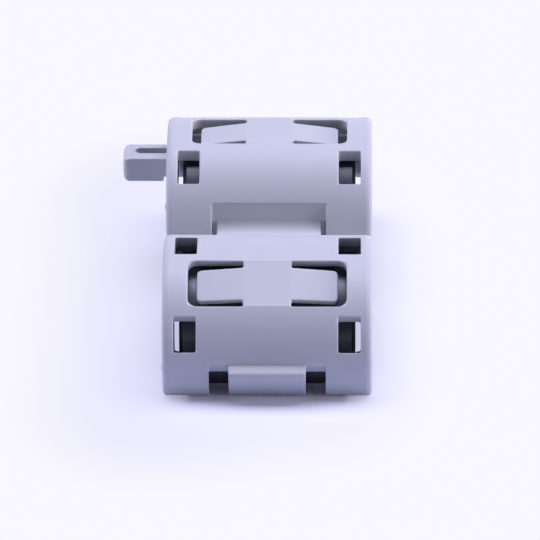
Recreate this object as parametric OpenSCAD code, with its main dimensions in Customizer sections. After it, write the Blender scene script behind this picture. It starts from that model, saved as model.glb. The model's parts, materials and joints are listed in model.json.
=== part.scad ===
// Clip-on ferrite bead: a hinged nylon case with half a ferrite sleeve in each half.
// It stands open as a low tent on its latch catch and its latch loop, panels up.
// Each half is drawn about its own bore: X runs along the cable, Y from the hinge
// towards the latch, Z from the split up through the flat panel. Millimetres.

/* [Case] */
// Length of the case along the cable, without the tie loop
case_len = 18; // [15:0.5:22]
// Outside diameter of the closed case
case_d = 15; // [12.5:0.5:18]
// Thickness of the curved wall
case_wall = 1; // [0.8:0.1:1.2]
// Thickness of the two end walls
end_wall = 1; // [0.8:0.1:1.2]
// Rounding of the outer end edges
end_round = 0.7; // [0.3:0.1:0.8]
// Height of each half's rim above the split plane
rim_gap = 0.5; // [0.4:0.05:0.8]
// Rounding of the rim's outer edge
rim_round = 0.3; // [0.1:0.05:0.4]
// Diameter of the gate mark that moulding leaves on one end face of each half
gate_d = 0.5; // [0.3:0.1:0.8]
// Height of the gate mark
gate_h = 0.1; // [0.05:0.05:0.2]
// Diameter of the cable passage
cable_d = 7; // [5.5:0.5:8.5]

/* [Ferrite] */
// Gap between each end of the sleeve and the end wall
core_end_gap = 0.45; // [0.3:0.05:0.6]
// Gap between the sleeve and the curved wall
core_gap = 0.5; // [0.3:0.05:0.6]
// Bevel of the sleeve's outer end edges
core_bevel = 0.3; // [0.1:0.05:0.5]
// Air left at the mating faces by each half
core_air = 0.01; // [0.005:0.005:0.02]

/* [Panel] */
// Width of the flat panel
panel_w = 4.4; // [3.6:0.1:5.2]
// Distance from the panel's slotted outline to each end of the case
panel_margin = 2.2; // [1.9:0.1:2.6]
// Corner rounding of the slotted outline
panel_round = 0.8; // [0.4:0.1:1.2]
// Width of the bridge between the two spring tongues
bridge_w = 4.1; // [3.4:0.1:5]
// Width of a spring tongue at its root
tongue_w = 3.13; // [2.6:0.01:3.2]
// Width of a spring tongue at its tip
tongue_tip_w = 2.98; // [2.4:0.02:3]
// Slot width round the tip of a tongue
tongue_gap = 0.72; // [0.5:0.02:1]
// Thickness of a spring tongue
tongue_t = 0.65; // [0.5:0.05:0.7]
// Corner rounding at the tip of a tongue
tongue_round = 0.4; // [0.2:0.05:0.6]

/* [Windows] */
// Length of a mould window along the cable
window_len = 1.92; // [1.5:0.02:2.4]
// Angle from the panel's middle to the near edge of a window
window_from = 23.6; // [20:0.1:28]
// Angle from the panel's middle to the far edge of a window
window_to = 47.5; // [42:0.1:50]

/* [Hinge] */
// Opening of the halves, from closed to the open stand
open_angle = 148; // [140:1:160]
// Width of the flat cut for the hinge web
hinge_cut_w = 10; // [8:0.1:12]
// Height of the hinge web's root above the split plane
web_root = 1.84; // [1.5:0.02:2.2]
// Width of the hinge web
web_w = 9.1; // [7.5:0.1:9.4]
// Thickness of the hinge web
web_t = 0.3; // [0.25:0.01:0.35]
// Tight bend of the hinge web next to each root
web_bend = 0.64; // [0.5:0.02:0.8]
// Slope at which the tight bend hands over to the easy one
web_knee = 28; // [22:1:34]

/* [Latch] */
// Width of the latch notch
latch_cut_w = 10; // [8.5:0.1:11.5]
// Angle from the panel's middle to the top of the latch notch
latch_from = 56; // [52:0.5:60]
// Height at which the slits beside the catch begin
slit_top = 2.7; // [2.4:0.1:3.2]
// Width of the catch
catch_w = 6.6; // [5.6:0.1:7.4]
// Height of the catch's ledge above the split plane
catch_ledge = 4.1; // [3.9:0.05:4.6]
// Distance of the ledge's outer edge inside the case's greatest radius
catch_inset = 0.17; // [0.1:0.01:0.5]
// Rounding of the ledge's outer edge
catch_round = 0.35; // [0.1:0.05:0.45]
// Side clearance between the loop, the catch and the notch
loop_play = 0.15; // [0.1:0.01:0.25]
// How far the closed bar reaches in under the ledge
bar_bite = 0.85; // [0.7:0.05:1]
// Thickness of the loop's arms
loop_t = 0.9; // [0.7:0.05:1]
// Depth of the loop's cross bar along its pull
bar_t = 0.9; // [0.6:0.05:1.1]
// Clearance between the closed bar and the ledge
bar_play = 0.05; // [0.03:0.01:0.1]
// Rounding of the loop's outer corners
loop_round = 0.7; // [0.4:0.05:1]

/* [Tie loop] */
// How far the tie loop stands out of the end wall
tie_len = 3.9; // [3.2:0.1:4.6]
// Width of the tie loop across the cable
tie_w = 2.66; // [2.4:0.02:3.2]
// Height of the tie loop
tie_h = 2.33; // [2:0.01:2.8]
// How far it hangs below the top of the cable passage
tie_drop = 0.7; // [0.5:0.05:0.9]
// Width of the slot for the cable tie
tie_slot_w = 0.93; // [0.8:0.01:1.1]
// Thickness of the tie loop's end
tie_end_t = 1.07; // [0.8:0.01:1.3]
// Offset of the slot from the middle of the tie loop
tie_slot_off = 0.22; // [0:0.02:0.3]
// Corner rounding of the tie loop
tie_round = 0.5; // [0.3:0.05:0.7]
// Relief between the tie loop and the end wall
tie_relief = 0.35; // [0.2:0.05:0.5]

/* [Hidden] */
$fn = 96;
// Hair's breadth by which joined solids overlap, and the overshoot of a cut
eps = 0.01;
over = 1;

// Case radii and heights
case_r = case_d / 2;
inner_r = case_r - case_wall;
cable_r = cable_d / 2;
core_r = inner_r - core_gap;
half_len = case_len / 2;
inner_half = half_len - end_wall;
core_half = inner_half - core_end_gap;
panel_z = sqrt(case_r * case_r - panel_w * panel_w / 4);
rim_y = sqrt(case_r * case_r - pow(rim_gap + rim_round, 2));

// Panel slots and spring tongues; the slots stop just inside the panel's edges
panel_len = case_len - 2 * panel_margin;
slot_inset = 0.03;
tongue_root_x = bridge_w / 2;
tongue_tip_x = panel_len / 2 - tongue_gap;
tongue_len = tongue_tip_x - tongue_root_x;
tongue_touch = 0.015;
tongue_lap = 0.3;
tongue_dip = asin((panel_z - core_r - tongue_touch - tongue_t) / tongue_len);

// Gate marks sit where the end face is flat, two thirds of the way down from the panel
gate_margin = 0.05;
gate_r = case_r - end_round - gate_d / 2 - gate_margin;
gate_angle = 64;

// Mould windows, cut from just under the wall at their far edge
window_sink = 0.3;
window_y0 = case_r * sin(window_from);
window_y1 = case_r * sin(window_to);
window_z0 = sqrt(inner_r * inner_r - window_y1 * window_y1) - window_sink;

// Ribs in the four corners that hold the sleeve sideways and endways. Seen along the
// cable they reach in past the sleeve's flank, further at the foot than at the top.
seat_top = 2.4;
seat_play = 0.02;
seat_foot_reach = 2.82;
seat_top_reach = 1.92;
seat_foot_y = core_r - seat_foot_reach;
seat_top_y = core_r - seat_top_reach;

// Hinge: its axis lies in the split plane, level with the case surface, and the flat
// leaves just the web's thickness of wall where the web springs from it
hinge_y = case_r;
hinge_flat_y = sqrt(inner_r * inner_r - web_root * web_root) + web_t;
web_root_y = case_r - hinge_flat_y;
// Degrees by which the web's bends overlap
web_lap = 3;

// Latch
latch_flat_y = case_r * sin(latch_from);
ledge_y = case_r - catch_inset;
catch_slope = atan((rim_y - ledge_y) / (catch_ledge - rim_gap - rim_round));
loop_w = latch_cut_w - 2 * loop_play;
loop_open_w = catch_w + 2 * loop_play;
loop_inset = 0.06;
loop_out_y = rim_y - loop_inset;
loop_tip = catch_ledge + bar_play + bar_t;
bar_in_y = ledge_y - bar_bite;
bar_heel = 0.15;
lead_in = 0.35;

// How the open case stands: the front rim and the tip of the rear loop share a floor.
// Both feet have the same rounding, so their centres lie at one height.
fold = 180 - open_angle;
foot_round = rim_round;
front_foot_y = hinge_y + rim_y - foot_round;
front_foot_z = rim_gap + foot_round;
loop_foot_y = hinge_y + loop_out_y - foot_round;
loop_foot_z = foot_round - loop_tip;
rear_tilt = atan((front_foot_y * sin(fold) - front_foot_z * cos(fold) + loop_foot_z)
    / (loop_foot_y + front_foot_y * cos(fold) + front_foot_z * sin(fold)));
front_tilt = fold - rear_tilt;
hinge_z = loop_foot_y * sin(rear_tilt) - loop_foot_z * cos(rear_tilt) + foot_round;

// Tie loop
tie_z0 = cable_r - tie_drop;

// Middle of the standing case's outline, front to back and end to end
rear_reach = hinge_y * cos(rear_tilt) + case_r;
front_reach = (hinge_y + ledge_y - catch_round) * cos(front_tilt)
    + (catch_ledge - catch_round) * sin(front_tilt) + catch_round;
mid_y = (rear_reach - front_reach) / 2;
mid_x = -tie_len / 2;

// ---- Frames ----------------------------------------------------------------------

// From a frame on the hinge axis to the standing part's frame
module stand() {
    translate([-mid_x, -mid_y, hinge_z]) children();
}

module place_rear() {
    stand() rotate([-rear_tilt, 0, 0]) translate([0, hinge_y, 0]) children();
}

module place_front() {
    stand() rotate([front_tilt, 0, 0]) rotate([0, 0, 180]) translate([0, hinge_y, 0]) children();
}

// Draws a profile given as [y, z] and runs it along X
module along_x(len) {
    rotate([90, 0, 90]) linear_extrude(len, center = true) children();
}

// ---- Case halves -----------------------------------------------------------------

// The closed case as one rounded drum
module drum() {
    rotate([0, 90, 0]) rotate_extrude() {
        translate([0, -half_len]) square([case_r - end_round, case_len]);
        translate([0, end_round - half_len]) square([case_r, case_len - 2 * end_round]);
        for (k = [-1, 1])
            translate([case_r - end_round, k * (half_len - end_round)]) circle(end_round);
    }
}

// All above the rim, with the rim's outer edges rounded
module above_rim() {
    along_x(case_len + 2 * over) {
        translate([-rim_y, rim_gap + rim_round]) square([2 * rim_y, case_d]);
        translate([-rim_y + rim_round, rim_gap]) square([2 * (rim_y - rim_round), case_d]);
        for (k = [-1, 1])
            translate([k * (rim_y - rim_round), rim_gap + rim_round]) circle(rim_round);
    }
}

module cavity() {
    rotate([0, 90, 0]) cylinder(r = inner_r, h = 2 * inner_half, center = true);
}

module rounded_rect(w, h, r) {
    square([w - 2 * r, h], center = true);
    square([w, h - 2 * r], center = true);
    for (i = [-1, 1], j = [-1, 1])
        translate([i * (w / 2 - r), j * (h / 2 - r)]) circle(r);
}

// The two C-shaped slots that free the spring tongues
module panel_slots() {
    translate([0, 0, inner_r - case_wall]) linear_extrude(2 * case_wall + over) difference() {
        rounded_rect(panel_len, panel_w - 2 * slot_inset, panel_round);
        square([bridge_w, panel_w + over], center = true);
    }
}

// A tongue's outline from just inside the bridge to its tip
module tongue_outline() {
    end_w = tongue_tip_w + (tongue_w - tongue_tip_w) * tongue_round / tongue_len;
    polygon([[-tongue_lap, -tongue_w / 2], [tongue_len - tongue_round, -end_w / 2],
        [tongue_len - tongue_round, end_w / 2], [-tongue_lap, tongue_w / 2]]);
    translate([tongue_len - 2 * tongue_round, tongue_round - end_w / 2])
        square([2 * tongue_round, end_w - 2 * tongue_round]);
    for (k = [-1, 1])
        translate([tongue_len - tongue_round, k * (end_w / 2 - tongue_round)]) circle(tongue_round);
}

// Both tongues dip from the bridge until they bear on the ferrite
module tongues() {
    for (side = [0, 1]) mirror([side, 0, 0])
        translate([tongue_root_x, 0, panel_z]) rotate([0, tongue_dip, 0])
            translate([0, 0, -tongue_t]) linear_extrude(tongue_t) tongue_outline();
}

module panel_flat() {
    translate([-panel_len / 2, -case_r, panel_z]) cube([panel_len, case_d, case_r]);
}

module windows() {
    for (i = [0, 1], j = [0, 1]) mirror([i, 0, 0]) mirror([0, j, 0])
        translate([inner_half - window_len, window_y0, window_z0])
            cube([window_len, window_y1 - window_y0, case_r]);
}

// One corner rib: a wall beside the sleeve's end and a pad beside its flank
module seat_profile() {
    intersection() {
        difference() {
            polygon([[seat_foot_y, rim_gap], [case_r, rim_gap], [case_r, seat_top],
                [seat_top_y, seat_top]]);
            children();
        }
        circle(inner_r + case_wall / 2);
    }
}

module seats() {
    wall_x = core_half + seat_play;
    for (i = [0, 1], j = [0, 1]) mirror([i, 0, 0]) mirror([0, j, 0]) {
        translate([(wall_x + inner_half + eps) / 2, 0, 0])
            along_x(inner_half - wall_x + eps) seat_profile();
        translate([inner_half - window_len / 2, 0, 0])
            along_x(window_len) seat_profile() circle(core_r + seat_play);
    }
}

// Gate mark on the end face at +X or -X, on the latch or the hinge side
module gate_mark(end, side) {
    translate([end * half_len, side * gate_r * sin(gate_angle), gate_r * cos(gate_angle)])
        rotate([0, 90, 0]) cylinder(d = gate_d, h = 2 * gate_h, center = true);
}

module cable_passage(past_end) {
    rotate([0, 90, 0]) cylinder(r = cable_r, h = case_len + 2 * past_end, center = true);
}

// Flat on the hinge side, and the opening below it that the hinge web crosses
module hinge_cut() {
    translate([-hinge_cut_w / 2, -case_d - hinge_flat_y, -over])
        cube([hinge_cut_w, case_d, case_d]);
    translate([-hinge_cut_w / 2, -case_d, -over])
        cube([hinge_cut_w, case_d - inner_r / 2, over + web_root]);
}

// Rounded half-drum shell with its panel, tongues, windows and hinge flat
module half_case() {
    difference() {
        union() {
            difference() {
                intersection() {
                    drum();
                    above_rim();
                }
                cavity();
                panel_slots();
            }
            tongues();
            seats();
        }
        panel_flat();
        windows();
        hinge_cut();
    }
}

// ---- Latch -----------------------------------------------------------------------

module latch_notch() {
    translate([-latch_cut_w / 2, latch_flat_y, -over]) cube([latch_cut_w, case_d, case_d]);
    translate([-latch_cut_w / 2, inner_r / 2, -over])
        cube([latch_cut_w, case_d, over + slit_top]);
}

// Section of the catch: a square ledge on top, then a face that runs out to the rim
module catch_profile() {
    top = catch_ledge - catch_round;
    out = ledge_y - catch_round;
    nose = [out + catch_round * cos(catch_slope), top + catch_round * sin(catch_slope)];
    difference() {
        union() {
            polygon([[inner_r / 2, catch_ledge], [out, catch_ledge], [out, top], nose,
                [rim_y, rim_gap + rim_round], [rim_y - rim_round, rim_gap + rim_round],
                [rim_y - rim_round, rim_gap], [inner_r / 2, rim_gap]]);
            translate([out, top]) circle(catch_round);
            translate([rim_y - rim_round, rim_gap + rim_round]) circle(rim_round);
        }
        circle(inner_r);
    }
}

// Loop seen from the latch side: a frame round the catch, as [x, z]
module loop_outline() {
    tall = loop_tip + rim_gap;
    difference() {
        union() {
            translate([-loop_w / 2, loop_round - loop_tip]) square([loop_w, tall - loop_round]);
            translate([loop_round - loop_w / 2, -loop_tip]) square([loop_w - 2 * loop_round, tall]);
            for (k = [-1, 1])
                translate([k * (loop_w / 2 - loop_round), loop_round - loop_tip]) circle(loop_round);
        }
        translate([-loop_open_w / 2, bar_t - loop_tip]) square([loop_open_w, 2 * tall]);
    }
}

// Section of the loop: straight arms, and a bar with a nose behind and a sloped lead-in
module loop_profile() {
    arm_in = loop_out_y - loop_t;
    bar_top = bar_t - loop_tip;
    heel = loop_out_y - foot_round;
    polygon([[arm_in, rim_gap], [arm_in, bar_top + bar_heel], [bar_in_y, bar_top],
        [bar_in_y, lead_in - loop_tip], [bar_in_y + lead_in, -loop_tip],
        [heel, -loop_tip], [heel, loop_foot_z], [loop_out_y, loop_foot_z], [loop_out_y, rim_gap]]);
    translate([heel, loop_foot_z]) circle(foot_round);
}

// ---- Tie loop --------------------------------------------------------------------

module tie_loop() {
    root = half_len - end_wall / 2;
    reach = half_len + tie_len;
    difference() {
        intersection() {
            translate([-reach, -tie_w / 2, 0]) linear_extrude(case_r) {
                translate([tie_round, 0]) square([reach - root - tie_round, tie_w]);
                translate([0, tie_round]) square([reach - root, tie_w - 2 * tie_round]);
                for (k = [tie_round, tie_w - tie_round]) translate([tie_round, k]) circle(tie_round);
            }
            translate([-reach, 0, tie_z0]) rotate([90, 0, 0]) linear_extrude(case_d, center = true) {
                translate([tie_round, 0]) square([reach - root - tie_round, tie_h]);
                translate([0, tie_round]) square([reach - root, tie_h - 2 * tie_round]);
                for (k = [tie_round, tie_h - tie_round]) translate([tie_round, k]) circle(tie_round);
            }
        }
        translate([tie_end_t - reach, tie_slot_off - tie_slot_w / 2, 0])
            linear_extrude(case_r) {
                translate([tie_slot_w / 2, tie_slot_w / 2]) circle(tie_slot_w / 2);
                translate([tie_slot_w / 2, 0])
                    square([tie_len - tie_end_t - tie_slot_w / 2, tie_slot_w]);
            }
    }
}

// ---- Hinge web -------------------------------------------------------------------

// Part of a ring between two slopes below the horizontal, hollow side up
module web_bend_part(r, from, to) {
    intersection() {
        difference() {
            circle(r + web_t);
            circle(r);
        }
        polygon([[0, 0], [3 * r * sin(from), -3 * r * cos(from)], [3 * r * sin(to), -3 * r * cos(to)]]);
    }
}

// The web's section: easy in the middle, then tight bends that turn up into both walls
module web_section() {
    lean = fold / 2;
    steep = 90 - lean;
    root_y = web_root_y * cos(lean) + web_root * sin(lean);
    root_z = web_root * cos(lean) - web_root_y * sin(lean);
    easy = (root_y - web_bend * (sin(steep) - sin(web_knee))) / sin(web_knee);
    knee_z = root_z - web_bend * (cos(web_knee) - cos(steep));
    translate([0, knee_z + easy * cos(web_knee)]) web_bend_part(easy, -web_knee, web_knee);
    for (side = [0, 1]) mirror([side, 0])
        translate([root_y - web_bend * sin(steep), root_z + web_bend * cos(steep)])
            web_bend_part(web_bend, web_knee - web_lap, steep);
}

// ---- Nodes -----------------------------------------------------------------------

module rear_shell() {
    color("#b4b5c6") place_rear() difference() {
        union() {
            half_case();
            tie_loop();
            gate_mark(-1, -1);
        }
        cable_passage(tie_relief);
    }
}

module front_shell() {
    color("#b4b5c6") place_front() difference() {
        union() {
            difference() {
                half_case();
                latch_notch();
            }
            along_x(catch_w) catch_profile();
            gate_mark(1, 1);
        }
        cable_passage(over);
    }
}

module hinge_web() {
    color("#c6c7d8") stand() rotate([(front_tilt - rear_tilt) / 2, 0, 0])
        along_x(web_w) web_section();
}

module latch_loop() {
    color("#b4b5c6") place_rear() intersection() {
        along_x(case_len) loop_profile();
        rotate([90, 0, 0]) linear_extrude(2 * case_d, center = true) loop_outline();
    }
}

// Half of the ferrite sleeve, with bevelled outer ends
module half_core() {
    bevel_half = core_half - core_bevel;
    bevel_r = core_r - core_bevel;
    intersection() {
        rotate([0, 90, 0]) rotate_extrude()
            polygon([[cable_r, -core_half], [bevel_r, -core_half], [core_r, -bevel_half],
                [core_r, bevel_half], [bevel_r, core_half], [cable_r, core_half]]);
        translate([-case_len, -case_d, core_air]) cube([2 * case_len, 2 * case_d, case_d]);
    }
}

module rear_core() {
    color("#2b2b30") place_rear() half_core();
}

module front_core() {
    color("#2b2b30") place_front() half_core();
}

rear_shell();
front_shell();
hinge_web();
latch_loop();
rear_core();
front_core();
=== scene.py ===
# %% [markdown]
# # A clip-on ferrite bead
# This is the grey sleeve that is clipped round a cable to quieten electrical noise.
# Two half-round nylon cases hold half a ferrite tube each, and a thin web of the same
# nylon is their hinge. It stands open like a low tent, and this lesson finishes it:
# its edges, its web, its two materials and the light it is seen in.

# %% Load the frame
import json
import math

import bmesh
import bpy
from mathutils import Matrix, Vector


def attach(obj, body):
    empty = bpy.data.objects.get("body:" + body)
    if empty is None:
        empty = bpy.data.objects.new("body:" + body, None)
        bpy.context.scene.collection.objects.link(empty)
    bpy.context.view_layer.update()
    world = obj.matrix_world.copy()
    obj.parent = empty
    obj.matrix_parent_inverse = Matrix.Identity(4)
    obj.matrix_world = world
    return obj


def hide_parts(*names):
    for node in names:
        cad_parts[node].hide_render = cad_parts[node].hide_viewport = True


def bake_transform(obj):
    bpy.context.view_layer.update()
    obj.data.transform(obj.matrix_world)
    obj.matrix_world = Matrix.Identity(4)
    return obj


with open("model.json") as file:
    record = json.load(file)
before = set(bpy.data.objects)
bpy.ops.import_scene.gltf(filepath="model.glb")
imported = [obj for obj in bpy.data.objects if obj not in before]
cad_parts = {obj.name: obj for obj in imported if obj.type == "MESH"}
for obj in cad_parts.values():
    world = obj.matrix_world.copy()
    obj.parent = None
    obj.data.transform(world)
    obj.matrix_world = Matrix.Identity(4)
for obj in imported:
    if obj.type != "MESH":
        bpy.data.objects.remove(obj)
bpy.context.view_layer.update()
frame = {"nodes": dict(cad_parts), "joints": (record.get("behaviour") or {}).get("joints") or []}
MM = 0.001
cad = frame["nodes"]
hinge = frame["joints"][0]
HINGE = Vector(hinge["pos_m"])
print("pieces:", ", ".join(sorted(cad)))
print("hinge axis at", [round(c / MM, 2) for c in HINGE], "mm")


# %% [markdown]
# ## Small helpers
# Paint colours are easiest to judge as hex values, but shaders work in linear light, so
# one function turns the one into the other. A second adds a node and fills its inputs,
# which keeps a material's cell as short as its idea. A third starts an empty material.
# The sums that the nodes do most often have their settings named once.


# %% Helpers for colours and nodes
PLUS, MINUS, TIMES, OVER = ({"operation": n} for n in ("ADD", "SUBTRACT", "MULTIPLY", "DIVIDE"))
LARGER, SMALLER_THAN = ({"operation": n} for n in ("MAXIMUM", "LESS_THAN"))
LENGTH, UNIT, SIZE = ({"operation": n} for n in ("LENGTH", "NORMALIZE", "ABSOLUTE"))


def linear(hex_colour):
    """Linear RGBA of an sRGB hex colour."""
    values = [int(hex_colour[i : i + 2], 16) / 255 for i in (1, 3, 5)]
    return [v / 12.92 if v <= 0.04045 else ((v + 0.055) / 1.055) ** 2.4 for v in values] + [1.0]


def add_node(tree, kind, settings=None, inputs=None):
    """A new node with its properties set. Each input is given a value, a socket to link
    from, or a node, whose first output is linked."""
    node = tree.nodes.new(kind)
    for name, value in (settings or {}).items():
        setattr(node, name, value)
    for key, value in (inputs or {}).items():
        source = value.outputs[0] if isinstance(value, bpy.types.Node) else value
        if isinstance(source, bpy.types.NodeSocket):
            tree.links.new(source, node.inputs[key])
        else:
            node.inputs[key].default_value = source
    return node


def new_material(name):
    """An empty node material and its tree."""
    material = bpy.data.materials.new(name)
    material.use_nodes = True
    material.node_tree.nodes.clear()
    return material, material.node_tree


# %% [markdown]
# ## Camera
# The bead is small, so it is seen with a long lens from well back, a little over a third
# of the way up from level. A long lens keeps the case's edges almost parallel.

# %% Camera
VIEW_ELEVATION = math.radians(35.51)
VIEW_AZIMUTH = math.radians(-1.05)
VIEW_ROLL = math.radians(0.50)
VIEW_DISTANCE = 450 * MM
VIEW_OFFSET = 2.02 * MM
VIEW_HEIGHT = 3.47 * MM
VIEW_DEPTH = 0.068 * MM
LENS_MM = 342.15
SENSOR_MM = 36

turn = Matrix.Rotation(-VIEW_AZIMUTH, 4, "Z") @ Matrix.Rotation(
    math.pi / 2 - VIEW_ELEVATION, 4, "X"
)
aim = turn @ Vector((VIEW_OFFSET, 0, 0)) + Vector((0, VIEW_DEPTH, VIEW_HEIGHT))
lens = bpy.data.cameras.new("camera")
lens.lens = LENS_MM
lens.sensor_width = SENSOR_MM
camera = bpy.data.objects.new("camera", lens)
bpy.context.scene.collection.objects.link(camera)
camera.matrix_world = (
    Matrix.Translation(aim)
    @ turn
    @ Matrix.Translation((0, 0, VIEW_DISTANCE))
    @ Matrix.Rotation(-VIEW_ROLL, 4, "Z")
)
bpy.context.scene.camera = camera
print("camera at", [round(c, 3) for c in camera.matrix_world.translation], "m")

# %% [markdown]
# ## Floor
# A product shot stands on smooth card. The card is a plain matt surface, so that it takes
# the bead's shadow and throws cool light back up under the case. What the camera sees of
# it is paler than what the bead gets from it. Further out it fades first to a pale tone, a
# painted wide soft shadow, and then to clean white, and under the open ends of the case it
# shows painted light. Both are there for the camera and for whatever mirrors them, and throw no
# other light on the bead.

# %% Floor
FLOOR_SIZE = 3.0
bpy.ops.mesh.primitive_plane_add(size=FLOOR_SIZE, location=(0, 0, 0))
floor = bpy.context.object
floor.name = "card_sweep"
card, tree = new_material("smooth_matt_card")
floor.data.materials.append(card)
print("card", FLOOR_SIZE, "m across")

# %% How far a point of the card lies from the case
# A rectangle under the case, by its middle along the cable and its reach either way. At
# the open ends of the case it falls short of them, so the card under those ends shows painted
# light from the given-off pale tone and white.
CASE_MIDDLE = 1.95 * MM
CASE_REACH = (6.5 * MM, 14.9 * MM)
# The card's own shading is gone at FADE_TO, and a power below 1 takes most of it early
FADE_FROM = 0.1 * MM
FADE_TO = 10.0 * MM
FADE_POWER = 0.5
# The painted shadow turns white from here on, and the lean moves that edge to the left
PAINTED_SHADOW_END = 12.0 * MM
PAINTED_SHADOW_LEAN = 0.25

place = add_node(tree, "ShaderNodeTexCoord").outputs["Object"]
shifted = add_node(tree, "ShaderNodeVectorMath", MINUS, {0: place, 1: (CASE_MIDDLE, 0, 0)})
folded = add_node(tree, "ShaderNodeVectorMath", SIZE, {0: shifted})
beyond = add_node(tree, "ShaderNodeVectorMath", MINUS, {0: folded, 1: (*CASE_REACH, 0)})
outside = add_node(tree, "ShaderNodeVectorMath", LARGER, {0: beyond, 1: (0, 0, 0)})
away = add_node(tree, "ShaderNodeVectorMath", LENGTH, {0: outside}).outputs["Value"]
far = add_node(
    tree,
    "ShaderNodeMapRange",
    None,
    {"Value": away, "From Min": FADE_FROM, "From Max": FADE_TO},
)
fade = add_node(tree, "ShaderNodeMath", {"operation": "POWER"}, {0: far, 1: FADE_POWER})
# The painted wide shadow reaches further to the left, away from the brighter lamp
sideways = add_node(tree, "ShaderNodeSeparateXYZ", None, {0: shifted})
painted_shadow_reach = add_node(
    tree,
    "ShaderNodeMath",
    {"operation": "MULTIPLY_ADD"},
    {0: sideways.outputs["X"], 1: PAINTED_SHADOW_LEAN, 2: away},
)
painted_shadow_fade = add_node(
    tree,
    "ShaderNodeMapRange",
    {"interpolation_type": "SMOOTHSTEP"},
    {"Value": painted_shadow_reach, "From Max": PAINTED_SHADOW_END},
)
print("card plain white beyond", PAINTED_SHADOW_END / MM, "mm from the case")

# %% Card
CARD_TINT = "#d6daf2"
CARD_SEEN = "#f5f4fc"
# A painted wide soft shadow round the case: a pale tone that is given off, not lit
CARD_PAINTED_SHADOW = "#e4e3fb"
CARD_WHITE = "#f9f8fe"

ray = add_node(tree, "ShaderNodeLightPath")
camera_ray, glossy_ray = ray.outputs["Is Camera Ray"], ray.outputs["Is Glossy Ray"]
mirrored = add_node(
    tree, "ShaderNodeMath", LARGER, {0: glossy_ray, 1: ray.outputs["Is Transmission Ray"]}
)
seen = add_node(tree, "ShaderNodeMath", LARGER, {0: camera_ray, 1: mirrored})
bare = add_node(tree, "ShaderNodeMath", TIMES, {0: fade, 1: seen})
tint = add_node(
    tree,
    "ShaderNodeMix",
    {"data_type": "RGBA"},
    {0: camera_ray, 6: linear(CARD_TINT), 7: linear(CARD_SEEN)},
)
matt = add_node(tree, "ShaderNodeBsdfDiffuse", None, {"Color": tint.outputs[2]})
# Painted shadow near the case, turning to white further off
painted_shadow_tone = add_node(
    tree,
    "ShaderNodeMix",
    {"data_type": "RGBA"},
    {0: painted_shadow_fade, 6: linear(CARD_PAINTED_SHADOW), 7: linear(CARD_WHITE)},
)
white = add_node(tree, "ShaderNodeEmission", None, {"Color": painted_shadow_tone.outputs[2], "Strength": 1.0})
both = add_node(tree, "ShaderNodeMixShader", None, {0: bare, 1: matt, 2: white})
add_node(tree, "ShaderNodeOutputMaterial", None, {"Surface": both})
print("card tinted", CARD_TINT, "and seen as", CARD_SEEN)

# %% [markdown]
# ## Light
# Four soft boxes light such a shot. A long cool one hangs above, two stand at the sides,
# the right one the brighter, and a weak low one behind picks out the far edges. Nothing
# shines from the front: the front of the case is lit by what the card throws back, which
# is why the bead shades so softly downwards.


# %% Softboxes
LAMP_AIM = Vector((0, 0, 0))
TOP_COLOUR = "#e0e1ff"
SIDE_COLOUR = "#f2e8ff"


def softbox(name, place, size, watts, colour):
    """A rectangular area lamp that faces the bead."""
    lamp = bpy.data.lights.new(name, "AREA")
    lamp.shape = "RECTANGLE"
    lamp.size, lamp.size_y = size
    lamp.energy = watts
    lamp.color = linear(colour)[:3]
    thing = bpy.data.objects.new(name, lamp)
    bpy.context.scene.collection.objects.link(thing)
    facing = (LAMP_AIM - Vector(place)).to_track_quat("-Z", "Y").to_matrix().to_4x4()
    thing.matrix_world = Matrix.Translation(place) @ facing
    print(name, watts, "W")


# Places and sizes in metres, then watts
softbox("top_box", (0, 0.12, 0.5), (0.9, 0.24), 4.25, TOP_COLOUR)
softbox("back_box", (0, 0.6, 0.2), (0.9, 0.3), 0.5, SIDE_COLOUR)
softbox("left_box", (-0.5, 0, 0.16), (0.5, 0.3), 0.97, SIDE_COLOUR)
softbox("right_box", (0.5, 0, 0.16), (0.5, 0.3), 2.28, SIDE_COLOUR)

# %% [markdown]
# ## Room
# Nothing but the boxes lights the bead, so the room itself is nearly dark. Low down the
# room is white, like card turned up behind the table into a low sweep, which shows in anything
# that mirrors.
# Above the sweep the dull sheen of the bead would take white for more light, so there
# only the camera sees white, for views from low down.

# %% Room
ROOM_COLOUR = "#b4c4ff"
ROOM_STRENGTH = 0.02
# How steeply a ray that just clears the sweep rises, as the sine of its angle
SWEEP_TOP = 0.04
world = bpy.data.worlds.new("dim_room")
bpy.context.scene.world = world
world.use_nodes = True
tree = world.node_tree
tree.nodes.clear()
# In a world's shader the Generated coordinate is the direction that the ray goes in
way = add_node(tree, "ShaderNodeTexCoord").outputs["Generated"]
rise = add_node(tree, "ShaderNodeSeparateXYZ", None, {0: way}).outputs["Z"]
low = add_node(tree, "ShaderNodeMath", SMALLER_THAN, {0: rise, 1: SWEEP_TOP})
ray = add_node(tree, "ShaderNodeLightPath")
camera_ray, glossy_ray = ray.outputs["Is Camera Ray"], ray.outputs["Is Glossy Ray"]
mirrored = add_node(
    tree, "ShaderNodeMath", LARGER, {0: glossy_ray, 1: ray.outputs["Is Transmission Ray"]}
)
sweep = add_node(tree, "ShaderNodeMath", TIMES, {0: low, 1: mirrored})
seen = add_node(tree, "ShaderNodeMath", LARGER, {0: camera_ray, 1: sweep})
dim = add_node(
    tree,
    "ShaderNodeBackground",
    None,
    {"Color": linear(ROOM_COLOUR), "Strength": ROOM_STRENGTH},
)
white = add_node(
    tree, "ShaderNodeBackground", None, {"Color": linear(CARD_WHITE), "Strength": 1.0}
)
both = add_node(tree, "ShaderNodeMixShader", None, {0: seen, 1: dim, 2: white})
add_node(tree, "ShaderNodeOutputWorld", None, {"Surface": both})
print("room at", ROOM_STRENGTH, "of full light")
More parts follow.
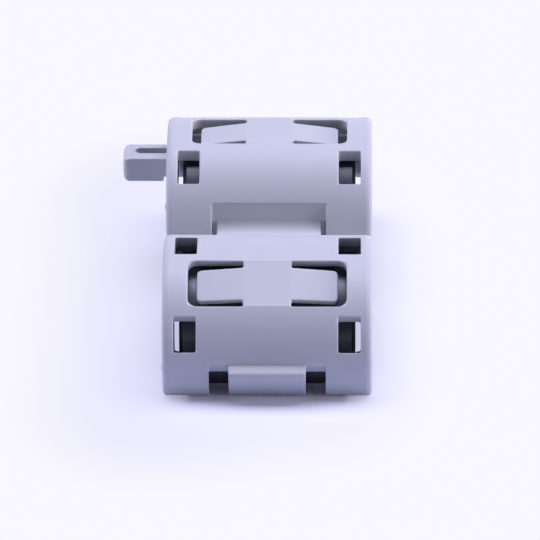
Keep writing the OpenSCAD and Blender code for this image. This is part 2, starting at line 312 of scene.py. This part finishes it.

# %% [markdown]
# ## Moulded nylon
# The case is pale grey nylon 66, moulded in a tool with a spark-eroded finish. That gives
# the eye a satin skin with an even fine grain. Light goes a little way into the plastic,
# so its edges look soft. The edges themselves are rubbed slightly smoother, and a painted
# highlight makes them paler than the faces. The grain is really some 0.03 mm across and is
# drawn at 0.12 mm, because it would vanish between pixels otherwise.

# %% Moulded nylon
NYLON_GREY = "#c4c7c9"
NYLON_COOL = "#c0c4c7"
# Painted highlight: the paler colour given to the edges
NYLON_EDGE_HIGHLIGHT = "#d4d7d9"
NYLON_ROUGH = (0.46, 0.56)
NYLON_RUBBED_ROUGH = 0.36
NYLON_IOR = 1.53
# The share of the light that goes into the plastic, and how far it gets
NYLON_INWARDS = 0.12
NYLON_DEPTH = 0.3 * MM
GRAIN_MM = 0.12
GRAIN_STRENGTH = 0.22
GRAIN_HEIGHT = 0.01 * MM
DRIFT_MM = 5.0
# Nearly all values of a noise lie between these two
NOISE_LOW, NOISE_HIGH = 0.3, 0.7


def nylon_material(name):
    """Satin moulded nylon with grain, slow drift in tone, and smoother edges with a painted
    highlight.
    """
    material, tree = new_material(name)
    place = add_node(tree, "ShaderNodeTexCoord").outputs["Object"]
    edge_highlight_mask = add_node(tree, "ShaderNodeAttribute", {"attribute_name": "edge_highlight_and_polish"})
    grain = add_node(
        tree,
        "ShaderNodeTexNoise",
        None,
        {"Vector": place, "Scale": 1 / (GRAIN_MM * MM), "Detail": 2.0, "Roughness": 0.6},
    )
    drift = add_node(
        tree,
        "ShaderNodeTexNoise",
        None,
        {"Vector": place, "Scale": 1 / (DRIFT_MM * MM), "Detail": 2.0},
    )
    tone = add_node(
        tree,
        "ShaderNodeMix",
        {"data_type": "RGBA"},
        {0: drift.outputs["Fac"], 6: linear(NYLON_GREY), 7: linear(NYLON_COOL)},
    )
    # The edges get the painted highlight colour
    colour = add_node(
        tree,
        "ShaderNodeMix",
        {"data_type": "RGBA"},
        {0: edge_highlight_mask.outputs["Fac"], 6: tone.outputs[2], 7: linear(NYLON_EDGE_HIGHLIGHT)},
    )
    satin = add_node(
        tree,
        "ShaderNodeMapRange",
        None,
        {
            "Value": grain.outputs["Fac"],
            "From Min": NOISE_LOW,
            "From Max": NOISE_HIGH,
            "To Min": NYLON_ROUGH[0],
            "To Max": NYLON_ROUGH[1],
        },
    )
    smooth = add_node(
        tree,
        "ShaderNodeMix",
        {"data_type": "FLOAT"},
        {0: edge_highlight_mask.outputs["Fac"], 2: satin, 3: NYLON_RUBBED_ROUGH},
    )
    bump = add_node(
        tree,
        "ShaderNodeBump",
        None,
        {"Strength": GRAIN_STRENGTH, "Distance": GRAIN_HEIGHT, "Height": grain.outputs["Fac"]},
    )
    skin = add_node(
        tree,
        "ShaderNodeBsdfPrincipled",
        None,
        {
            "Base Color": colour.outputs[2],
            "Roughness": smooth,
            "IOR": NYLON_IOR,
            "Subsurface Weight": NYLON_INWARDS,
            "Subsurface Radius": (1.0, 1.0, 1.0),
            "Subsurface Scale": NYLON_DEPTH,
            "Normal": bump,
        },
    )
    add_node(tree, "ShaderNodeOutputMaterial", None, {"Surface": skin})
    return material


nylon = nylon_material("spark_finished_nylon")
print("nylon grain drawn at", GRAIN_MM, "mm")

# %% [markdown]
# ## Fired ferrite
# The sleeve is nickel-zinc ferrite, pressed from powder and fired: a dense black
# ceramic. Its high refractive index gives it a clear sheen where it mirrors the light,
# broken up by the granules of the pressed powder, some of them a little paler. The two
# mating faces are ground flat after firing, so they are smoother and carry fine lines
# along the cable. Granules are 0.1 to 0.2 mm across. The lines are finer than the 0.05 mm
# at which they are drawn, because they would vanish between pixels otherwise.

# %% Fired ferrite
FERRITE_BLACK = "#202233"
FERRITE_WORN = "#363a4e"
FERRITE_IOR = 2.0
# The noise values at which a granule starts to turn paler, and is palest
PALER_FROM, PALER_FULL = 0.35, 0.75
POWDER_MM = 0.14
GRIND_MM = 0.05
# Ground lines run along the cable, so their pattern is stretched that way
GRIND_STRETCH = (0.02, 1.0, 1.0)
FIRED_ROUGH = (0.38, 0.48)
GROUND_ROUGH = (0.26, 0.34)
FIRED_STRENGTH = 0.6
GROUND_STRENGTH = 0.15
POWDER_HEIGHT = 0.015 * MM


def ferrite_material(name, ground):
    """Pressed and fired ferrite; its ground faces are smoother, with fine lines."""
    material, tree = new_material(name)
    place = add_node(tree, "ShaderNodeTexCoord").outputs["Object"]
    stretch = GRIND_STRETCH if ground else (1.0, 1.0, 1.0)
    size = GRIND_MM if ground else POWDER_MM
    rough = GROUND_ROUGH if ground else FIRED_ROUGH
    laid = add_node(tree, "ShaderNodeMapping", None, {"Vector": place, "Scale": stretch})
    powder = add_node(
        tree,
        "ShaderNodeTexNoise",
        None,
        {"Vector": laid, "Scale": 1 / (size * MM), "Detail": 3.0, "Roughness": 0.65},
    )
    tone = add_node(
        tree,
        "ShaderNodeMapRange",
        None,
        {"Value": powder.outputs["Fac"], "From Min": PALER_FROM, "From Max": PALER_FULL},
    )
    colour = add_node(
        tree,
        "ShaderNodeMix",
        {"data_type": "RGBA"},
        {0: tone, 6: linear(FERRITE_BLACK), 7: linear(FERRITE_WORN)},
    )
    matt = add_node(
        tree,
        "ShaderNodeMapRange",
        None,
        {
            "Value": powder.outputs["Fac"],
            "From Min": NOISE_LOW,
            "From Max": NOISE_HIGH,
            "To Min": rough[0],
            "To Max": rough[1],
        },
    )
    bump = add_node(
        tree,
        "ShaderNodeBump",
        None,
        {
            "Strength": GROUND_STRENGTH if ground else FIRED_STRENGTH,
            "Distance": POWDER_HEIGHT,
            "Height": powder.outputs["Fac"],
        },
    )
    skin = add_node(
        tree,
        "ShaderNodeBsdfPrincipled",
        None,
        {
            "Base Color": colour.outputs[2],
            "Roughness": matt,
            "IOR": FERRITE_IOR,
            "Normal": bump,
        },
    )
    add_node(tree, "ShaderNodeOutputMaterial", None, {"Surface": skin})
    return material


fired = ferrite_material("fired_ferrite", False)
ground = ferrite_material("ground_ferrite", True)
for name, node in cad.items():
    node.data.materials.clear()
    node.data.materials.append(fired if "core" in name else nylon)
print("ferrite granules drawn at", POWDER_MM, "mm, ground lines at", GRIND_MM, "mm")

# %% [markdown]
# ## Helpers for node trees
# A modifier's inputs are set by each socket's own identifier. The finished shape is then
# taken off the modifier as a plain mesh.


# %% Tree helpers
def new_tree(name, inputs):
    """An empty Geometry Nodes tree with named inputs; returns it and its input node."""
    tree = bpy.data.node_groups.new(name, "GeometryNodeTree")
    face = tree.interface
    face.new_socket("Geometry", in_out="INPUT", socket_type="NodeSocketGeometry")
    for label, kind in inputs:
        face.new_socket(label, in_out="INPUT", socket_type="NodeSocket" + kind)
    face.new_socket("Geometry", in_out="OUTPUT", socket_type="NodeSocketGeometry")
    return tree, add_node(tree, "NodeGroupInput").outputs


def set_input(modifier, name, value):
    """Sets a tree's input by the socket's identifier."""
    for item in modifier.node_group.interface.items_tree:
        if item.item_type == "SOCKET" and item.in_out == "INPUT" and item.name == name:
            modifier[item.identifier] = value


def finished_mesh(thing, name):
    """The evaluated mesh of an object as a plain mesh of its own."""
    graph = bpy.context.evaluated_depsgraph_get()
    mesh = bpy.data.meshes.new_from_object(thing.evaluated_get(graph))
    mesh.name = name
    return mesh


def grown(name, mesh, tree, values):
    """An object whose mesh is what a tree makes of the given one."""
    thing = bpy.data.objects.new(name, mesh)
    bpy.context.scene.collection.objects.link(thing)
    modifier = thing.modifiers.new("grow", "NODES")
    modifier.node_group = tree
    for label, value in values.items():
        set_input(modifier, label, value)
    made = finished_mesh(thing, name)
    thing.modifiers.clear()
    thing.data = made
    print(name, len(made.polygons), "faces")
    return thing


# %% [markdown]
# ## Where the halves lie
# Each half leans on its own foot, so the pieces are made about their own bore and then
# turned and moved into place from the hinge: the rear half leans back a little, and the
# front half leans forward like the lid of a piano.

# %% Places of the two halves
REAR_LEAN = math.radians(-4.870)
FRONT_LEAN = math.radians(27.130)
CASE_RADIUS = 7.5 * MM


def about_hinge(lean, side):
    """The middle of a half's bore, on the split plane; side is 1 behind the hinge."""
    return HINGE + Matrix.Rotation(lean, 3, "X") @ Vector((0, side * CASE_RADIUS, 0))


REAR_BORE = about_hinge(REAR_LEAN, 1)
FRONT_BORE = about_hinge(FRONT_LEAN, -1)
print("bores at", [[round(c / MM, 2) for c in p] for p in (REAR_BORE, FRONT_BORE)], "mm")

# %% [markdown]
# ## Ferrite half-sleeves
# Half of a bead is half a tube with bevelled ends. Its section never changes, so it is a
# six-cornered outline swept along half a circle. The corners of a pressed part are never
# knife-sharp, so the outline's corners are filleted a little before the sweep, and the two
# end caps of the sweep are the ground mating faces, which get a material of their own.

# %% The sleeve's outline
SLEEVE_HALF = 7.55 * MM
SLEEVE_BORE = 3.5 * MM
SLEEVE_RADIUS = 6.0 * MM
SLEEVE_BEVEL = 0.3 * MM
SLEEVE_EDGE = 0.07 * MM
SLEEVE_EDGE_STEPS = 3


def sleeve_outline(tree, given, path_radius):
    """The six corners as a closed curve, filleted, about a path of the given radius."""
    half, bevel = given["Half Length"], given["Bevel"]
    inner = add_node(tree, "ShaderNodeMath", MINUS, {0: given["Bore"], 1: path_radius})
    outer = add_node(tree, "ShaderNodeMath", MINUS, {0: given["Radius"], 1: path_radius})
    shoulder = add_node(tree, "ShaderNodeMath", MINUS, {0: outer, 1: bevel})
    flank = add_node(tree, "ShaderNodeMath", MINUS, {0: half, 1: bevel})
    back = add_node(tree, "ShaderNodeMath", TIMES, {0: half, 1: -1.0})
    back_flank = add_node(tree, "ShaderNodeMath", TIMES, {0: flank, 1: -1.0})
    # Corners as (out from the path, along the cable)
    corners = [(inner, back), (shoulder, back), (outer, back_flank)]
    corners += [(outer, flank), (shoulder, half), (inner, half)]
    line = add_node(tree, "GeometryNodeMeshLine", None, {"Count": len(corners)})
    pick = add_node(
        tree,
        "GeometryNodeIndexSwitch",
        {"data_type": "VECTOR"},
        {0: add_node(tree, "GeometryNodeInputIndex")},
    )
    # The switch starts with two choices
    for _ in corners[2:]:
        pick.index_switch_items.new()
    for number, (out, along) in enumerate(corners):
        corner = add_node(tree, "ShaderNodeCombineXYZ", None, {"X": out, "Y": along})
        tree.links.new(corner.outputs[0], pick.inputs[1 + number])
    ring = add_node(tree, "GeometryNodeSetPosition", None, {"Geometry": line, "Position": pick})
    ring = add_node(tree, "GeometryNodeMeshToCurve", None, {0: ring})
    ring = add_node(
        tree, "GeometryNodeSetSplineCyclic", None, {"Geometry": ring, "Cyclic": True}
    )
    return add_node(
        tree,
        "GeometryNodeFilletCurve",
        {"mode": "POLY"},
        {"Curve": ring, "Count": SLEEVE_EDGE_STEPS, "Radius": given["Edge"]},
    )


# %% The sweep along half a circle
# How far the mating faces stay off the split plane, so that they don't cut in when closed
SLEEVE_AIR = 0.025 * MM
SLEEVE_STEPS = 97
SLEEVE_SMOOTH = math.radians(40)


def sleeve_sweep(tree, given):
    """Half a tube about X, open below, with its mating faces lifted off the split plane."""
    both_radii = add_node(tree, "ShaderNodeMath", PLUS, {0: given["Bore"], 1: given["Radius"]})
    path_radius = add_node(tree, "ShaderNodeMath", TIMES, {0: both_radii, 1: 0.5})
    path = add_node(
        tree,
        "GeometryNodeCurveArc",
        None,
        {
            "Resolution": SLEEVE_STEPS,
            "Radius": path_radius,
            "Start Angle": 0.0,
            "Sweep Angle": math.pi,
        },
    )
    path = add_node(tree, "GeometryNodeSetCurveNormal", {"mode": "Z_UP"}, {"Curve": path})
    outline = sleeve_outline(tree, given, path_radius)
    swept = add_node(
        tree,
        "GeometryNodeCurveToMesh",
        None,
        {"Curve": path, "Profile Curve": outline, "Fill Caps": True},
    )
    # From a sweep round Z to one round the cable, with the mating faces down
    stood = add_node(
        tree,
        "GeometryNodeTransform",
        None,
        {"Geometry": swept, "Rotation": (math.pi / 2, 0, math.pi / 2)},
    )
    lift = add_node(tree, "ShaderNodeCombineXYZ", None, {"Z": given["Air"]})
    stood = add_node(
        tree, "GeometryNodeTransform", None, {"Geometry": stood, "Translation": lift}
    )
    edge = add_node(tree, "GeometryNodeInputMeshEdgeAngle")
    is_round = add_node(tree, "ShaderNodeMath", SMALLER_THAN, {0: edge, 1: SLEEVE_SMOOTH})
    return add_node(
        tree,
        "GeometryNodeSetShadeSmooth",
        {"domain": "EDGE"},
        {"Geometry": stood, "Shade Smooth": is_round},
    )


# %% The sleeve's tree
# How far above the mating plane a face may lie and still be ground
GROUND_BAND = 0.02 * MM


def sleeve_tree():
    """A tree that makes a half-sleeve, puts it in place and dresses it in two materials."""
    tree, given = new_tree(
        "half_sleeve",
        [(n, "Float") for n in ("Half Length", "Bore", "Radius", "Bevel", "Edge", "Air", "Lean")]
        + [("Place", "Vector"), ("Fired", "Material"), ("Ground", "Material")],
    )
    # The mating faces are the low ones before the sleeve leans, so they are noted here
    position = add_node(tree, "GeometryNodeInputPosition")
    height = add_node(tree, "ShaderNodeSeparateXYZ", None, {0: position}).outputs["Z"]
    ground_below = add_node(tree, "ShaderNodeMath", PLUS, {0: given["Air"], 1: GROUND_BAND})
    is_mating = add_node(tree, "ShaderNodeMath", SMALLER_THAN, {0: height, 1: ground_below})
    noted = add_node(tree, "GeometryNodeCaptureAttribute", {"domain": "FACE"})
    noted.capture_items.new("BOOLEAN", "Mating")
    tree.links.new(sleeve_sweep(tree, given).outputs[0], noted.inputs["Geometry"])
    tree.links.new(is_mating.outputs[0], noted.inputs["Mating"])
    lean = add_node(tree, "ShaderNodeCombineXYZ", None, {"X": given["Lean"]})
    placed = add_node(
        tree,
        "GeometryNodeTransform",
        None,
        {"Geometry": noted, "Translation": given["Place"], "Rotation": lean},
    )
    real = add_node(tree, "GeometryNodeRealizeInstances", None, {"Geometry": placed})
    dressed = add_node(
        tree, "GeometryNodeSetMaterial", None, {"Geometry": real, "Material": given["Fired"]}
    )
    mating = noted.outputs["Mating"]
    dressed = add_node(
        tree,
        "GeometryNodeSetMaterial",
        None,
        {"Geometry": dressed, "Selection": mating, "Material": given["Ground"]},
    )
    add_node(tree, "NodeGroupOutput", None, {"Geometry": dressed})
    return tree


# %% Make both half-sleeves
sleeve = sleeve_tree()
for half, lean, place in (("rear", REAR_LEAN, REAR_BORE), ("front", FRONT_LEAN, FRONT_BORE)):
    piece = grown(
        half + "_sleeve",
        bpy.data.meshes.new("seed"),
        sleeve,
        {
            "Half Length": SLEEVE_HALF,
            "Bore": SLEEVE_BORE,
            "Radius": SLEEVE_RADIUS,
            "Bevel": SLEEVE_BEVEL,
            "Edge": SLEEVE_EDGE,
            "Air": SLEEVE_AIR,
            "Lean": lean,
            "Place": place,
            "Fired": fired,
            "Ground": ground,
        },
    )
    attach(piece, half + "_half")
    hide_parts(half + "_core")

# %% [markdown]
# ## Hinge web
# The living hinge is a thin strip of the same nylon that sags between the halves and
# turns up into each wall. Its section is the same all along, so a tree sweeps a rounded
# rectangle along the sagging line. The line has no points in its middle millimetre.

# %% The web's line
# On each side the line starts at the slope WEB_GAP and runs along an easy arc up to the
# knee, then along a tight one up to the slope WEB_STEEP. A straight root ends it.
WEB_GAP = math.radians(11.11)
WEB_KNEE = math.radians(35)
WEB_STEEP = math.radians(74)
WEB_EASY = 2.5955 * MM
WEB_TIGHT = 0.3 * MM
WEB_ROOT = 0.3 * MM
# How far above the hinge's axis the middle of the easy arcs lies
WEB_CENTRE = 3.493 * MM
# The share of each side that curves
WEB_CURVED = 0.9
WEB_POINTS = 48
WEB_TURN = Matrix.Rotation((REAR_LEAN + FRONT_LEAN) / 2, 3, "X")


def web_point(share):
    """A point of the web's line beside the hinge; share runs from -1 to 1."""
    side, along = math.copysign(1, share), abs(share)
    slope = WEB_GAP + (WEB_STEEP - WEB_GAP) * min(along / WEB_CURVED, 1)
    knee = min(slope, WEB_KNEE)
    out = WEB_EASY * math.sin(knee) + WEB_TIGHT * (math.sin(slope) - math.sin(knee))
    up = WEB_CENTRE - WEB_EASY * math.cos(knee) - WEB_TIGHT * (math.cos(slope) - math.cos(knee))
    lap = WEB_ROOT * max(along - WEB_CURVED, 0) / (1 - WEB_CURVED)
    point = Vector((0, side * (out + lap * math.cos(slope)), up + lap * math.sin(slope)))
    return HINGE + WEB_TURN @ point


# Shares on each side start beyond the gap and are evenly spread. The first is nearly 0,
# because 0 itself has no side.
FIRST_SHARE = 1e-6
shares = [FIRST_SHARE] + [i / (WEB_POINTS / 2 - 1) for i in range(1, WEB_POINTS // 2)]
line_points = [web_point(-t) for t in reversed(shares)] + [web_point(t) for t in shares]
web_line = bpy.data.meshes.new("web_line")
web_line.from_pydata(line_points, [(i, i + 1) for i in range(len(line_points) - 1)], [])
web_length = sum((b - a).length for a, b in zip(line_points, line_points[1:]))
print("web line", round(web_length / MM, 2), "mm")


# %% A tree that sweeps a strip along a line
STRIP_EDGE_STEPS = 4
STRIP_SMOOTH = math.radians(50)


def strip_tree():
    """A tree that sweeps a rounded rectangle along the line that it is given."""
    tree, given = new_tree(
        "swept_strip",
        [("Width", "Float"), ("Thickness", "Float"), ("Edge", "Float"), ("Material", "Material")],
    )
    path = add_node(tree, "GeometryNodeMeshToCurve", None, {0: given["Geometry"]})
    path = add_node(tree, "GeometryNodeSetCurveNormal", {"mode": "Z_UP"}, {"Curve": path})
    section = add_node(
        tree,
        "GeometryNodeCurvePrimitiveQuadrilateral",
        None,
        {"Width": given["Width"], "Height": given["Thickness"]},
    )
    section = add_node(
        tree,
        "GeometryNodeFilletCurve",
        {"mode": "POLY"},
        {"Curve": section, "Count": STRIP_EDGE_STEPS, "Radius": given["Edge"]},
    )
    swept = add_node(
        tree,
        "GeometryNodeCurveToMesh",
        None,
        {"Curve": path, "Profile Curve": section, "Fill Caps": True},
    )
    edge = add_node(tree, "GeometryNodeInputMeshEdgeAngle")
    is_round = add_node(tree, "ShaderNodeMath", SMALLER_THAN, {0: edge, 1: STRIP_SMOOTH})
    smooth = add_node(
        tree,
        "GeometryNodeSetShadeSmooth",
        {"domain": "EDGE"},
        {"Geometry": swept, "Shade Smooth": is_round},
    )
    real = add_node(tree, "GeometryNodeRealizeInstances", None, {"Geometry": smooth})
    dressed = add_node(
        tree, "GeometryNodeSetMaterial", None, {"Geometry": real, "Material": given["Material"]}
    )
    add_node(tree, "NodeGroupOutput", None, {"Geometry": dressed})
    return tree


# %% Make the web
WEB_THICK = 0.3 * MM
WEB_WIDTH = 9.1 * MM
WEB_EDGE = 0.1 * MM
web = grown(
    "hinge_web_strip",
    web_line,
    strip_tree(),
    {"Width": WEB_WIDTH, "Thickness": WEB_THICK, "Edge": WEB_EDGE, "Material": nylon},
)
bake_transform(web)
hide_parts("hinge_web")

# %% [markdown]
# ## Skins beside the web
# The web is a little narrower than the recess it starts in, so that it can flex. Between
# its sides and the ends of the recess each wall runs on as a thin skin, which hides the
# ferrite. They are small rounded plates, made from one bevelled box.

# %% Skins beside the web
SKIN_FROM = 4.4 * MM
SKIN_TO = 5.06 * MM
SKIN_OUT = 6.5 * MM
SKIN_IN = 6.22 * MM
SKIN_LOW = 0.5 * MM
SKIN_HIGH = 1.95 * MM
SKIN_EDGE = 0.05 * MM
SKIN_EDGE_STEPS = 3


def skin_pair(name, body, lean, bore, side):
    """Both plates of one half, about its bore and then leant; side is 1 behind the hinge."""
    work = bmesh.new()
    for end in (-1, 1):
        made = bmesh.ops.create_cube(work, size=1)["verts"]
        size = (SKIN_TO - SKIN_FROM, SKIN_OUT - SKIN_IN, SKIN_HIGH - SKIN_LOW)
        middle = Vector(
            (
                end * (SKIN_FROM + SKIN_TO) / 2,
                -side * (SKIN_OUT + SKIN_IN) / 2,
                (SKIN_LOW + SKIN_HIGH) / 2,
            )
        )
        bmesh.ops.scale(work, vec=size, verts=made)
        bmesh.ops.translate(work, vec=middle, verts=made)
    bmesh.ops.bevel(
        work,
        geom=work.edges[:],
        offset=SKIN_EDGE,
        segments=SKIN_EDGE_STEPS,
        profile=0.5,
        affect="EDGES",
    )
    bmesh.ops.transform(
        work, matrix=Matrix.Translation(bore) @ Matrix.Rotation(lean, 4, "X"), verts=work.verts
    )
    mesh = bpy.data.meshes.new(name)
    work.to_mesh(mesh)
    work.free()
    mesh.shade_smooth()
    mesh.materials.append(nylon)
    pair = bpy.data.objects.new(name, mesh)
    bpy.context.scene.collection.objects.link(pair)
    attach(pair, body)
    print(name, len(mesh.polygons), "faces")


skin_pair("rear_web_skins", "rear_half", REAR_LEAN, REAR_BORE, 1)
skin_pair("front_web_skins", "front_half", FRONT_LEAN, FRONT_BORE, -1)

# %% [markdown]
# ## Softened edges
# A moulding has no sharp edges: every corner is a tenth of a millimetre or two round, and
# that is what catches the light along the windows and the latch. A bevel modifier would
# struggle where curved cuts meet, so each piece is rebuilt from fine voxels instead, its
# points are averaged with their neighbours in Geometry Nodes, and the result is thinned.
# The tree also marks how much of an edge each point is, for the nylon's painted edge
# highlight and smoother edges. It puts the outside back onto a true cylinder, and draws the
# rounding at the ends a little squarer.


# %% Average the points and mark the edges for the painted highlight
# How far a point is pulled in where the painted edge highlight starts, and where it is full
EDGE_HIGHLIGHT_FROM = 0.008 * MM
EDGE_HIGHLIGHT_FULL = 0.035 * MM


def averaged(tree, given):
    """The given piece with its points averaged, and how much of an edge each one is written down
    for the painted edge highlight.
    """
    position = add_node(tree, "GeometryNodeInputPosition")
    blur = add_node(
        tree,
        "GeometryNodeBlurAttribute",
        {"data_type": "FLOAT_VECTOR"},
        {"Iterations": given["Rounds"]},
    )
    tree.links.new(position.outputs[0], next(s for s in blur.inputs if s.type == "VECTOR"))
    blurred = next(s for s in blur.outputs if s.type == "VECTOR")
    # How far a point is pulled inwards tells how much of an edge it is
    pulled = add_node(tree, "ShaderNodeVectorMath", MINUS, {0: position, 1: blurred})
    inwards = add_node(
        tree,
        "ShaderNodeVectorMath",
        {"operation": "DOT_PRODUCT"},
        {0: pulled, 1: add_node(tree, "GeometryNodeInputNormal")},
    )
    # How much of an edge a point is, for the painted highlight and the smoother roughness
    edge_highlight_and_polish = add_node(
        tree,
        "ShaderNodeMapRange",
        None,
        {"Value": inwards.outputs["Value"], "From Min": EDGE_HIGHLIGHT_FROM, "From Max": EDGE_HIGHLIGHT_FULL},
    )
    marked = add_node(
        tree,
        "GeometryNodeStoreNamedAttribute",
        {"data_type": "FLOAT", "domain": "POINT"},
        {"Geometry": given["Geometry"], "Name": "edge_highlight_and_polish", "Value": edge_highlight_and_polish},
    )
    return add_node(
        tree, "GeometryNodeSetPosition", None, {"Geometry": marked, "Position": blurred}
    )


# %% Measure the points from the case's axis
def about_axis(tree, given):
    """For each point: its way from a point of the axis, the unit way straight outwards, and
    how far it falls short of the case's radius."""
    position = add_node(tree, "GeometryNodeInputPosition")
    from_axis = add_node(tree, "ShaderNodeVectorMath", MINUS, {0: position, 1: given["Axis"]})
    spoke = add_node(tree, "ShaderNodeVectorMath", TIMES, {0: from_axis, 1: (0, 1, 1)})
    length = add_node(tree, "ShaderNodeVectorMath", LENGTH, {0: spoke}).outputs["Value"]
    outwards = add_node(tree, "ShaderNodeVectorMath", UNIT, {0: spoke})
    short = add_node(tree, "ShaderNodeMath", MINUS, {0: given["Radius"], 1: length})
    return from_axis, outwards, short


def near_zero(tree, value, full, none):
    """1 while the value is smaller than full either way, falling to 0 at none."""
    size = add_node(tree, "ShaderNodeMath", SIZE, {0: value})
    ends = {"From Min": full, "From Max": none, "To Min": 1.0, "To Max": 0.0}
    return add_node(
        tree, "ShaderNodeMapRange", {"interpolation_type": "SMOOTHSTEP"}, {"Value": size, **ends}
    )


def pushed(tree, piece, way, distance):
    """The piece with each point moved a distance along a unit way."""
    step = add_node(
        tree, "ShaderNodeVectorMath", {"operation": "SCALE"}, {0: way, "Scale": distance}
    )
    return add_node(tree, "GeometryNodeSetPosition", None, {"Geometry": piece, "Offset": step})


# %% Put the outside back onto its cylinder
# Points this close to the cylinder go all the way onto it, and those past the second stay
CLOSE_FULL = 0.015 * MM
CLOSE_NONE = 0.05 * MM


def onto_cylinder(tree, piece, outwards, short):
    """Moves points close to the case's true cylinder onto it, which takes out the facets."""
    is_close = near_zero(tree, short, CLOSE_FULL, CLOSE_NONE)
    push = add_node(tree, "ShaderNodeMath", TIMES, {0: short, 1: is_close})
    return pushed(tree, piece, outwards, push)


# %% Draw the rounding at the ends squarer
# How far off the rounding's own arc a point may lie and be pushed in full, or at all
CORNER_FULL = 0.06 * MM
CORNER_NONE = 0.15 * MM


def squarer_ends(tree, piece, given, from_axis, outwards, short):
    """Pushes the rounding between the cylinder and the end faces outwards in its middle."""
    end_round = given["End Round"]
    across = add_node(tree, "ShaderNodeSeparateXYZ", None, {0: from_axis}).outputs["X"]
    # Where a point lies from the middle of the rounding, along the cable and outwards
    along = add_node(tree, "ShaderNodeMath", SIZE, {0: across})
    beyond = add_node(tree, "ShaderNodeMath", MINUS, {0: along, 1: given["Half Length"]})
    beyond = add_node(tree, "ShaderNodeMath", PLUS, {0: beyond, 1: end_round})
    past_flank = add_node(tree, "ShaderNodeMath", LARGER, {0: beyond, 1: 0.0})
    beyond = add_node(tree, "ShaderNodeMath", MINUS, {0: end_round, 1: short})
    past_round = add_node(tree, "ShaderNodeMath", LARGER, {0: beyond, 1: 0.0})
    side = add_node(tree, "ShaderNodeMath", {"operation": "SIGN"}, {0: across})
    sideways = add_node(tree, "ShaderNodeMath", TIMES, {0: side, 1: past_flank})
    sideways = add_node(tree, "ShaderNodeCombineXYZ", None, {"X": sideways})
    upwards = add_node(
        tree, "ShaderNodeVectorMath", {"operation": "SCALE"}, {0: outwards, "Scale": past_round}
    )
    corner = add_node(tree, "ShaderNodeVectorMath", PLUS, {0: upwards, 1: sideways})
    reach = add_node(tree, "ShaderNodeVectorMath", LENGTH, {0: corner}).outputs["Value"]
    # 1 half way round the corner, and 0 where it meets the cylinder and the end face
    slant = add_node(tree, "ShaderNodeMath", TIMES, {0: past_flank, 1: past_round})
    slant = add_node(tree, "ShaderNodeMath", TIMES, {0: slant, 1: 2.0})
    square = add_node(tree, "ShaderNodeMath", TIMES, {0: reach, 1: reach})
    slant = add_node(tree, "ShaderNodeMath", OVER, {0: slant, 1: square})
    slant = add_node(tree, "ShaderNodeMath", TIMES, {0: slant, 1: slant})
    off_round = add_node(tree, "ShaderNodeMath", MINUS, {0: reach, 1: end_round})
    is_corner = near_zero(tree, off_round, CORNER_FULL, CORNER_NONE)
    push = add_node(tree, "ShaderNodeMath", TIMES, {0: slant, 1: is_corner})
    push = add_node(tree, "ShaderNodeMath", TIMES, {0: push, 1: given["Push"]})
    return pushed(tree, piece, add_node(tree, "ShaderNodeVectorMath", UNIT, {0: corner}), push)


# %% The tree that softens a moulding
def soften_tree():
    """A tree that rounds a piece's edges, mends its cylinder and squares its ends a little."""
    tree, given = new_tree(
        "soften_edges",
        [("Rounds", "Int"), ("Axis", "Vector")]
        + [(n, "Float") for n in ("Radius", "Half Length", "End Round", "Push")]
        + [("Material", "Material")],
    )
    from_axis, outwards, short = about_axis(tree, given)
    piece = onto_cylinder(tree, averaged(tree, given), outwards, short)
    piece = squarer_ends(tree, piece, given, from_axis, outwards, short)
    smooth = add_node(tree, "GeometryNodeSetShadeSmooth", None, {"Geometry": piece})
    real = add_node(tree, "GeometryNodeRealizeInstances", None, {"Geometry": smooth})
    dressed = add_node(
        tree, "GeometryNodeSetMaterial", None, {"Geometry": real, "Material": given["Material"]}
    )
    add_node(tree, "NodeGroupOutput", None, {"Geometry": dressed})
    return tree


# %% Soften the mouldings
VOXEL = 0.05 * MM
SAME_POINT = 0.0001 * MM
ROUNDS = 10
TRIANGLES = 190000
CASE_HALF = 9.0 * MM
END_ROUND = 0.7 * MM
END_PUSH = 0.083 * MM


def softened(node, name, tree, axis, radius):
    """A copy of a CAD piece with all its edges rounded; radius 0 is for one that isn't round."""
    mesh = node.data.copy()
    work = bmesh.new()
    work.from_mesh(mesh)
    bmesh.ops.remove_doubles(work, verts=work.verts, dist=SAME_POINT)
    work.to_mesh(mesh)
    work.free()
    rough = bpy.data.objects.new(name + "_rough", mesh)
    bpy.context.scene.collection.objects.link(rough)
    remesh = rough.modifiers.new("voxels", "REMESH")
    remesh.mode = "VOXEL"
    remesh.voxel_size = VOXEL
    voxels = finished_mesh(rough, name + "_voxels")
    bpy.data.objects.remove(rough)
    sizes = {
        "Rounds": ROUNDS,
        "Axis": axis,
        "Radius": radius,
        "Half Length": CASE_HALF,
        "End Round": END_ROUND,
        "Push": END_PUSH,
        "Material": nylon,
    }
    thing = grown(name, voxels, tree, sizes)
    # Voxels leave four-sided faces, of two triangles each
    count = 2 * len(thing.data.polygons)
    if count > TRIANGLES:
        thin = thing.modifiers.new("thin", "DECIMATE")
        thin.ratio = TRIANGLES / count
        thing.data = finished_mesh(thing, name)
        thing.modifiers.clear()
        print(name, "thinned to", len(thing.data.polygons), "faces")
    return thing


soft = soften_tree()
for node_name, body, axis, radius in (
    ("rear_shell", "rear_half", REAR_BORE, CASE_RADIUS),
    ("front_shell", "front_half", FRONT_BORE, CASE_RADIUS),
    ("latch_loop", "rear_half", REAR_BORE, 0.0),
):
    piece = softened(cad[node_name], node_name + "_moulding", soft, axis, radius)
    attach(piece, body)
    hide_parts(node_name)

# %% [markdown]
# ## Finish
# The Standard view shows colours as they are written.

# %% Finish
bpy.context.scene.view_settings.view_transform = "Standard"
